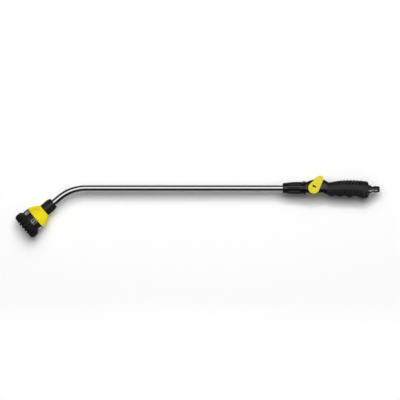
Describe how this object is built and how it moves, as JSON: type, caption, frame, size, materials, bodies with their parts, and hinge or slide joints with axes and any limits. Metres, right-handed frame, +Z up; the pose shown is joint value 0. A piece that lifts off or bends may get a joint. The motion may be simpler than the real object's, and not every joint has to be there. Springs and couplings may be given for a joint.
{
  "type": "watering wand",
  "caption": "Watering wand with a hose plug, a rubber-padded grip, a thumb-lever valve, a bent lance and a spray head whose front ring turns to choose the pattern.",
  "frame": {"origin": "on the hose plug's axis, midway along its locking collar", "axes": "+X out of the hose plug towards the hose, +Z up with the thumb lever above the grip, +Y to the wand's right as seen from behind; the spray head is at -X and points forwards and down"},
  "size_m": [0.8975, 0.0686, 0.1519],
  "materials": {
    "black_plastic": "glossy moulded",
    "dark_plastic": "fine matt texture",
    "face_plastic": "satin",
    "yellow_plastic": "satin moulded",
    "grip_rubber": "matt",
    "seal_rubber": "smooth",
    "polished_tube": "bright polished and anodised",
    "white_nylon": "plain",
    "screw_steel": "zinc plated",
    "valve_brass": "machined, nickel plated where it meets water"
  },
  "bodies": {
    "wand": {"hose_plug": "black_plastic", "end_cap": "black_plastic", "valve_body": "black_plastic", "tube_nut": "black_plastic", "neck_nut": "black_plastic", "handle_shell_left": "dark_plastic", "handle_shell_right": "dark_plastic", "inlet_pipe": "dark_plastic", "head_body": "dark_plastic", "seat_carrier": "dark_plastic", "head_shroud": "yellow_plastic", "grip_pad_top": "grip_rubber", "grip_pad_bottom": "grip_rubber", "hose_plug_oring": "seal_rubber", "plug_shank_oring": "seal_rubber", "inlet_pipe_orings": "seal_rubber", "spindle_orings": "seal_rubber", "tube_oring_rear": "seal_rubber", "tube_oring_front": "seal_rubber", "port_seal": "seal_rubber", "hub_oring": "seal_rubber", "lance_tube": "polished_tube", "ball_seat_front": "white_nylon", "ball_seat_rear": "white_nylon", "thrust_ring_rear": "white_nylon", "thrust_ring_front": "white_nylon", "handle_screws": "screw_steel", "center_screw": "screw_steel", "center_washer": "screw_steel", "port_seal_spring": "screw_steel", "click_spring": "screw_steel", "pivot_screw": "screw_steel"},
    "lever": {"thumb_lever": "yellow_plastic", "valve_spindle": "valve_brass", "valve_ball": "valve_brass"},
    "selector": {"selector_dial": "dark_plastic", "grip_ring": "grip_rubber", "chamber_block": "dark_plastic", "port_disc": "dark_plastic", "spray_plate": "face_plastic", "center_cap": "face_plastic"}
  },
  "joints": [
    {"name": "lever_turn", "type": "hinge", "parent": "wand", "child": "lever", "pos_m": [-0.154, 0, 0.003], "axis": [0, -1, 0], "range_deg": [0, 60]},
    {"name": "selector_turn", "type": "hinge", "parent": "wand", "child": "selector", "pos_m": [-0.7953, 0, -0.03292], "axis": [-0.766, 0, -0.6428], "continuous": true}
  ]
}
